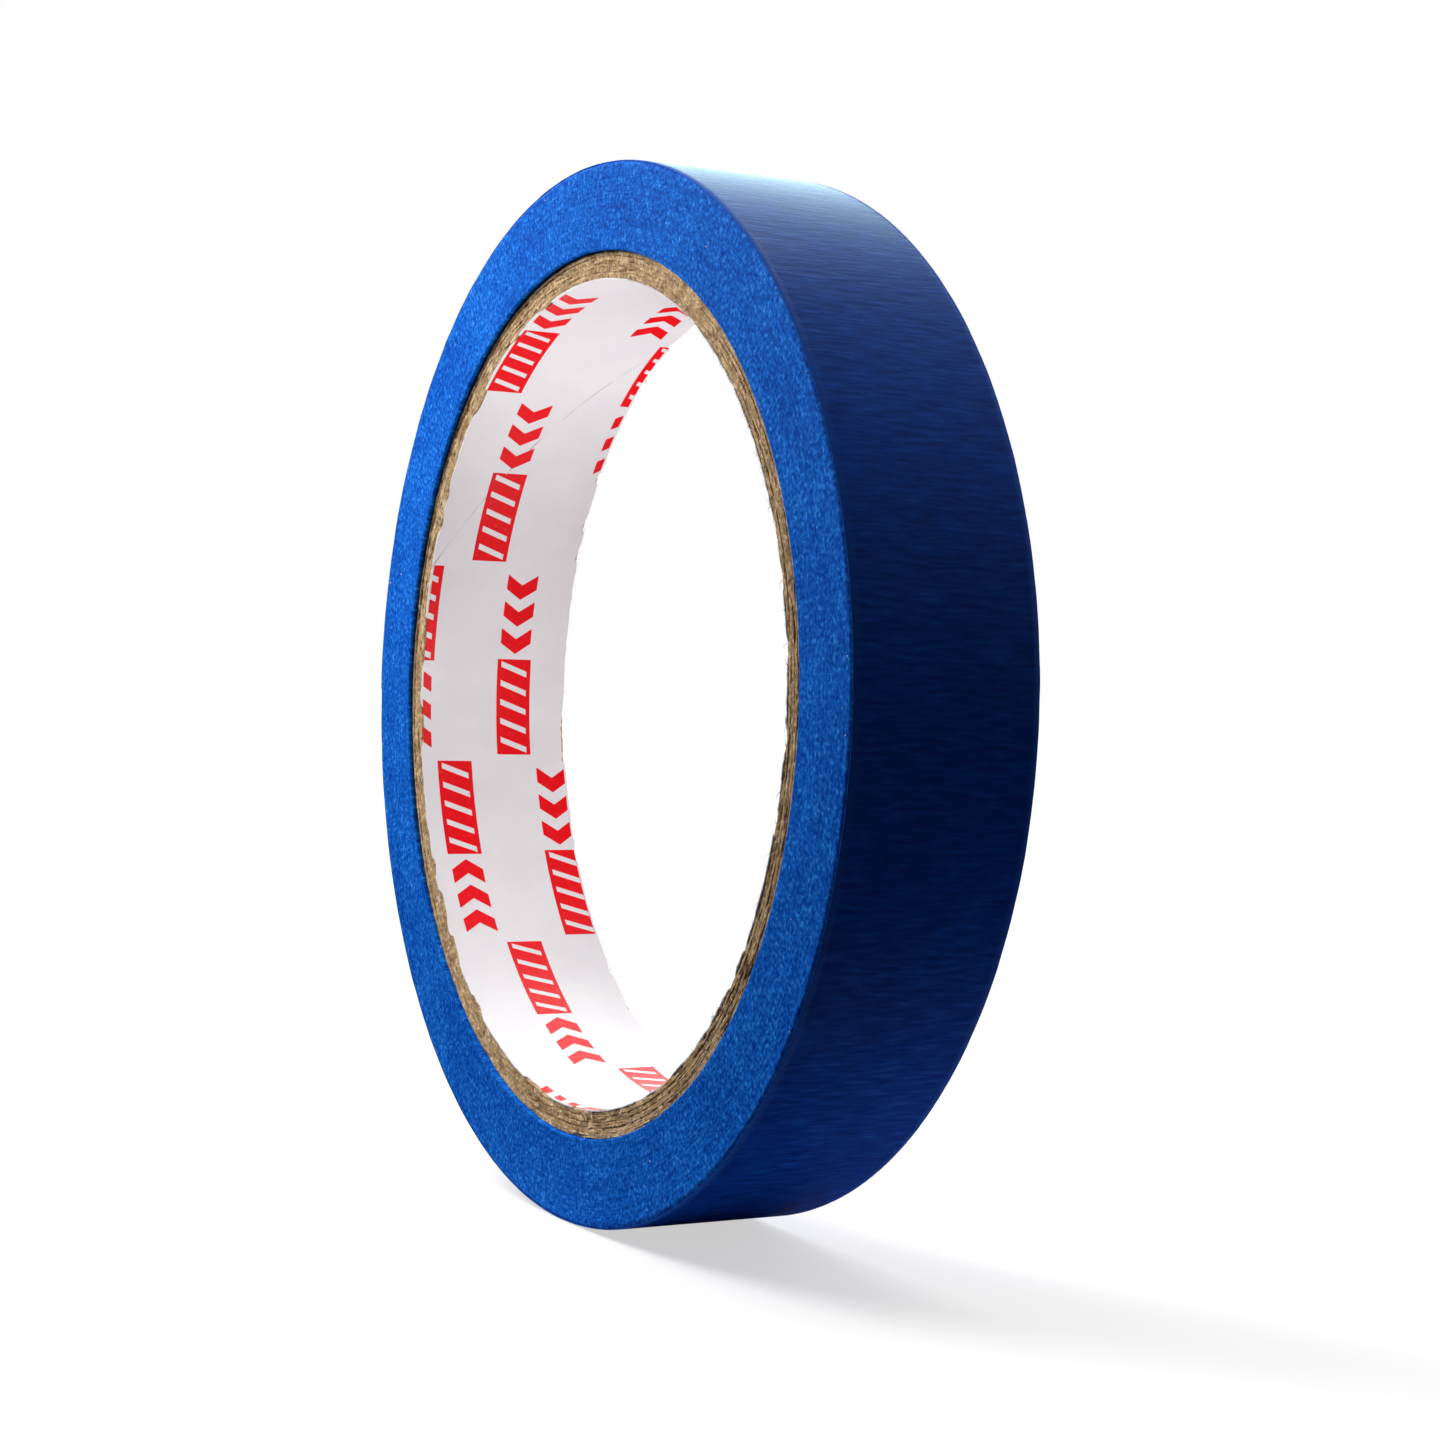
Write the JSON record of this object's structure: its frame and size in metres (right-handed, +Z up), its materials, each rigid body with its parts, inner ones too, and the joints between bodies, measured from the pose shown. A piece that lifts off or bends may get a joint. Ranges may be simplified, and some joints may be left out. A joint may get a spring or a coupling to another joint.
{
  "type": "masking tape roll",
  "caption": "Roll of blue creped-paper masking tape wound on a brown paper core with a white printed liner; the free end peels off the roll.",
  "frame": {"origin": "centre of the core's bore, half way across the tape's width", "axes": "+Y along the core's axis, +Z up with the roll standing on its edge, the tape's free end lies on the -X side"},
  "size_m": [0.0977, 0.0176, 0.0976],
  "materials": {
    "printed_liner": null,
    "kraft_ply": "matt brown kraft core board, fibrous cut edges",
    "wound_tape": "slit side of the wound tape, bright blue with fine turn lines",
    "tape_face": "saturated creped paper, deep blue with a soft satin sheen",
    "adhesive": "thin tacky adhesive coat that the blue paper shows through"
  },
  "bodies": {
    "roll": {"core_liner": "printed_liner", "core_ply_1": "kraft_ply", "core_ply_2": "kraft_ply", "core_ply_3": "kraft_ply", "core_ply_4": "kraft_ply", "core_ply_5": "kraft_ply", "wound_tape": "wound_tape", "outer_turn": "tape_face"},
    "end_1": {"end_backing_1": "tape_face", "end_adhesive_1": "adhesive"},
    "end_2": {"end_backing_2": "tape_face", "end_adhesive_2": "adhesive"},
    "end_3": {"end_backing_3": "tape_face", "end_adhesive_3": "adhesive"},
    "end_4": {"end_backing_4": "tape_face", "end_adhesive_4": "adhesive"},
    "end_5": {"end_backing_5": "tape_face", "end_adhesive_5": "adhesive"},
    "end_6": {"end_backing_6": "tape_face", "end_adhesive_6": "adhesive"},
    "end_7": {"end_backing_7": "tape_face", "end_adhesive_7": "adhesive"},
    "end_8": {"end_backing_8": "tape_face", "end_adhesive_8": "adhesive"},
    "end_9": {"end_backing_9": "tape_face", "end_adhesive_9": "adhesive"},
    "end_10": {"end_backing_10": "tape_face", "end_adhesive_10": "adhesive"}
  },
  "joints": [
    {"name": "tape_end_peel", "type": "hinge", "parent": "roll", "child": "end_1", "pos_m": [-0.02717, 0, 0.04067], "axis": [0, 1, 0], "range_deg": [0, 15]},
    {"name": "tape_end_bend_2", "type": "hinge", "parent": "end_1", "child": "end_2", "pos_m": [-0.03103, 0, 0.03781], "axis": [0, 1, 0], "range_deg": [0, 15]},
    {"name": "tape_end_bend_3", "type": "hinge", "parent": "end_2", "child": "end_3", "pos_m": [-0.03459, 0, 0.03459], "axis": [0, 1, 0], "range_deg": [0, 15]},
    {"name": "tape_end_bend_4", "type": "hinge", "parent": "end_3", "child": "end_4", "pos_m": [-0.03782, 0, 0.03104], "axis": [0, 1, 0], "range_deg": [0, 15]},
    {"name": "tape_end_bend_5", "type": "hinge", "parent": "end_4", "child": "end_5", "pos_m": [-0.04068, 0, 0.02718], "axis": [0, 1, 0], "range_deg": [0, 15]},
    {"name": "tape_end_bend_6", "type": "hinge", "parent": "end_5", "child": "end_6", "pos_m": [-0.04316, 0, 0.02306], "axis": [0, 1, 0], "range_deg": [0, 15]},
    {"name": "tape_end_bend_7", "type": "hinge", "parent": "end_6", "child": "end_7", "pos_m": [-0.04521, 0, 0.01872], "axis": [0, 1, 0], "range_deg": [0, 15]},
    {"name": "tape_end_bend_8", "type": "hinge", "parent": "end_7", "child": "end_8", "pos_m": [-0.04683, 0, 0.0142], "axis": [0, 1, 0], "range_deg": [0, 15]},
    {"name": "tape_end_bend_9", "type": "hinge", "parent": "end_8", "child": "end_9", "pos_m": [-0.048, 0, 0.00955], "axis": [0, 1, 0], "range_deg": [0, 15]},
    {"name": "tape_end_bend_10", "type": "hinge", "parent": "end_9", "child": "end_10", "pos_m": [-0.0487, 0, 0.0048], "axis": [0, 1, 0], "range_deg": [0, 15]}
  ],
  "couplings": [
    {"joint": "tape_end_bend_2", "follows": "tape_end_peel", "ratio": 1},
    {"joint": "tape_end_bend_3", "follows": "tape_end_peel", "ratio": 1},
    {"joint": "tape_end_bend_4", "follows": "tape_end_peel", "ratio": 1},
    {"joint": "tape_end_bend_5", "follows": "tape_end_peel", "ratio": 1},
    {"joint": "tape_end_bend_6", "follows": "tape_end_peel", "ratio": 1},
    {"joint": "tape_end_bend_7", "follows": "tape_end_peel", "ratio": 1},
    {"joint": "tape_end_bend_8", "follows": "tape_end_peel", "ratio": 1},
    {"joint": "tape_end_bend_9", "follows": "tape_end_peel", "ratio": 1},
    {"joint": "tape_end_bend_10", "follows": "tape_end_peel", "ratio": 1}
  ]
}
